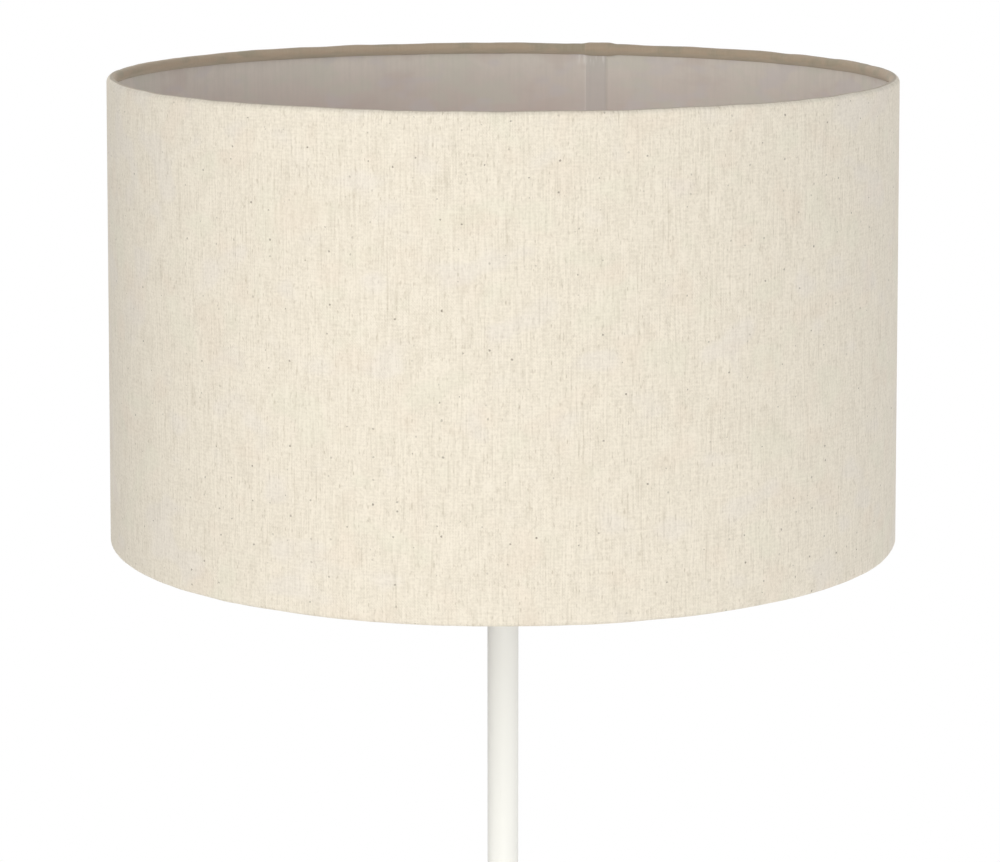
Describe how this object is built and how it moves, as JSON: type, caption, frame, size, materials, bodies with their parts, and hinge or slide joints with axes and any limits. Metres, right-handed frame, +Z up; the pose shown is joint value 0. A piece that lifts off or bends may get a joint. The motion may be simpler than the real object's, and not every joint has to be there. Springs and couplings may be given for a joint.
{
  "type": "tripod floor lamp",
  "caption": "Floor lamp with a linen drum shade on a slim white stem over a hub with hinged, clamped wooden legs; its shade, bulb, switch bar and legs move.",
  "frame": {"origin": "on the floor, on the axis of the stem", "axes": "+Z up; +Y towards the back leg (leg 1), -Y towards the viewer, where the switch bar stands out; +X to the viewer's right"},
  "size_m": [0.45, 0.4621, 1.5],
  "materials": {
    "white_paint": "white satin powder coat",
    "painted_wood": "white paint over fine-grained timber",
    "linen": "natural unbleached linen weave, matte",
    "shade_liner": "white PVC film, slight sheen",
    "white_plastic": "white moulded, semi-gloss",
    "plated_steel": "zinc-nickel plated, satin",
    "brass": "pressed and rolled, bright",
    "opal_glass": "opal white, gloss",
    "black_glass": "black vitrite insulator",
    "nylon": "natural nylon",
    "rubber": "grey moulded rubber",
    "brown_insulation": "brown PVC insulation",
    "blue_insulation": "blue PVC insulation"
  },
  "bodies": {
    "stand": {"hub_casting": "white_paint", "hub_base_cover": "white_paint", "cover_screw_1": "plated_steel", "cover_screw_2": "plated_steel", "cord_gland": "white_plastic", "terminal_block": "white_plastic", "hub_nipple": "plated_steel", "hub_locknut": "plated_steel", "stem_collar": "white_paint", "stem_tube": "white_paint", "stem_lower_plug": "plated_steel", "stem_upper_plug": "plated_steel", "holder_nipple": "plated_steel", "live_lead": "brown_insulation", "neutral_lead": "blue_insulation", "holder_cap": "white_plastic", "holder_skirt": "white_plastic", "holder_insert": "white_plastic", "screw_shell": "brass", "centre_contact": "brass", "hinge_bolt_1": "plated_steel", "hinge_washer_1a": "nylon", "hinge_washer_1b": "nylon", "hinge_bolt_2": "plated_steel", "hinge_washer_2a": "nylon", "hinge_washer_2b": "nylon", "hinge_bolt_3": "plated_steel", "hinge_washer_3a": "nylon", "hinge_washer_3b": "nylon"},
    "shade": {"shade_fabric": "linen", "shade_liner": "shade_liner", "shade_top_wire": "plated_steel", "shade_bottom_wire": "plated_steel", "fitter_spoke_1": "plated_steel", "fitter_spoke_2": "plated_steel", "fitter_spoke_3": "plated_steel", "fitter_ring": "plated_steel"},
    "shade_clamp": {"shade_clamp_ring": "white_plastic"},
    "bulb": {"bulb_globe": "opal_glass", "bulb_cap": "brass", "bulb_insulator": "black_glass", "bulb_contact": "plated_steel"},
    "switch": {"switch_bar": "white_plastic"},
    "leg_1_body": {"leg_1": "painted_wood", "leg_1_ferrule": "white_paint", "leg_1_screw": "plated_steel", "leg_1_foot": "rubber"},
    "leg_2_body": {"leg_2": "painted_wood", "leg_2_ferrule": "white_paint", "leg_2_screw": "plated_steel", "leg_2_foot": "rubber"},
    "leg_3_body": {"leg_3": "painted_wood", "leg_3_ferrule": "white_paint", "leg_3_screw": "plated_steel", "leg_3_foot": "rubber"},
    "knob_1": {"clamp_knob_1": "plated_steel"},
    "knob_2": {"clamp_knob_2": "plated_steel"},
    "knob_3": {"clamp_knob_3": "plated_steel"}
  },
  "joints": [
    {"name": "leg_1_fold", "type": "hinge", "parent": "stand", "child": "leg_1_body", "pos_m": [0, 0.04, 0.86], "axis": [-1, 0, 0], "range_deg": [0, 12.2]},
    {"name": "leg_2_fold", "type": "hinge", "parent": "stand", "child": "leg_2_body", "pos_m": [-0.03464, -0.02, 0.86], "axis": [0.5, -0.866, 0], "range_deg": [0, 12.2]},
    {"name": "leg_3_fold", "type": "hinge", "parent": "stand", "child": "leg_3_body", "pos_m": [0.03464, -0.02, 0.86], "axis": [0.5, 0.866, 0], "range_deg": [0, 12.2]},
    {"name": "knob_1_turn", "type": "hinge", "parent": "stand", "child": "knob_1", "pos_m": [0, 0.04, 0.86], "axis": [-1, 0, 0], "continuous": true},
    {"name": "knob_2_turn", "type": "hinge", "parent": "stand", "child": "knob_2", "pos_m": [-0.03464, -0.02, 0.86], "axis": [0.5, -0.866, 0], "continuous": true},
    {"name": "knob_3_turn", "type": "hinge", "parent": "stand", "child": "knob_3", "pos_m": [0.03464, -0.02, 0.86], "axis": [0.5, 0.866, 0], "continuous": true},
    {"name": "shade_turn", "type": "hinge", "parent": "stand", "child": "shade", "pos_m": [0, 0, 1.27], "axis": [0, 0, 1], "continuous": true},
    {"name": "shade_clamp_turn", "type": "hinge", "parent": "stand", "child": "shade_clamp", "pos_m": [0, 0, 1.275], "axis": [0, 0, 1], "continuous": true},
    {"name": "bulb_lift", "type": "slide", "parent": "stand", "child": "bulb", "axis": [0, 0, 1], "range_m": [0, 0.03]},
    {"name": "switch_push", "type": "slide", "parent": "stand", "child": "switch", "axis": [0, 1, 0], "range_m": [0, 0.005]}
  ]
}
